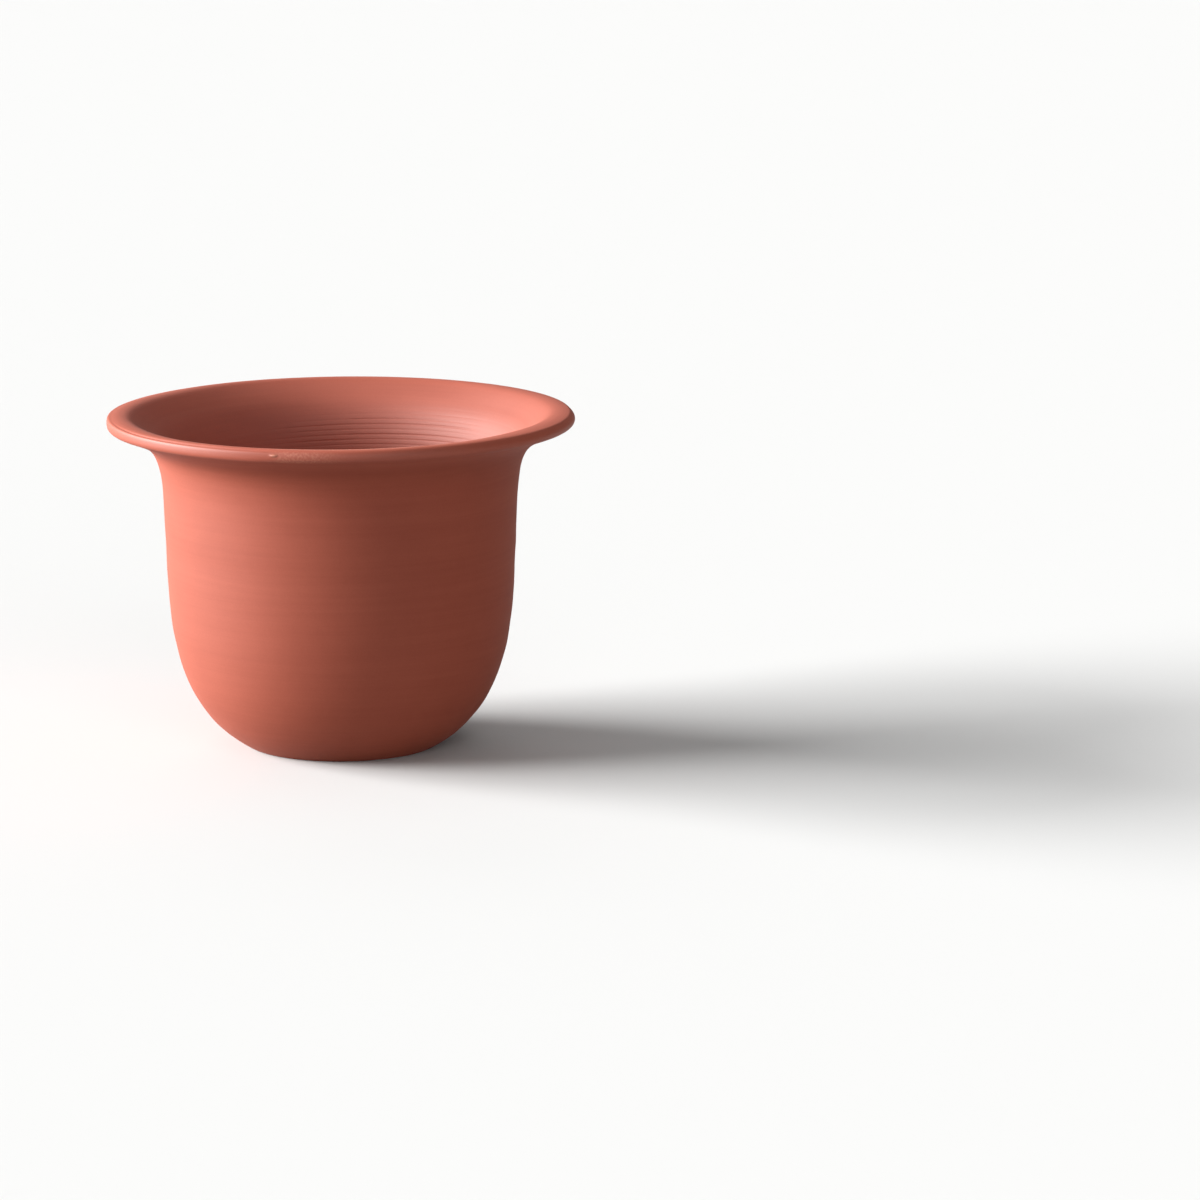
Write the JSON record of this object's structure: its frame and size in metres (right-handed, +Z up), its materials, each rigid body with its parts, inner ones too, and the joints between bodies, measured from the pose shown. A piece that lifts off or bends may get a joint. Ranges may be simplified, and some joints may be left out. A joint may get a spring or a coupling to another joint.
{
  "type": "clay kulhad cup",
  "caption": "Round-bottomed unglazed clay tea cup (kulhad) with a straight wall, a wide flared lip and a flat string-cut foot.",
  "frame": {"origin": "centre of the flat foot, on the surface that the cup stands on", "axes": "+Z up the axis of the potter's wheel, from the foot to the open mouth; +X and +Y are level, with the view of the picture from -Y"},
  "size_m": [0.0926, 0.0926, 0.067],
  "materials": {
    "terracotta": "unglazed fired clay, matt, with fine turning lines"
  },
  "bodies": {
    "root": {"cup": "terracotta"}
  },
  "joints": []
}
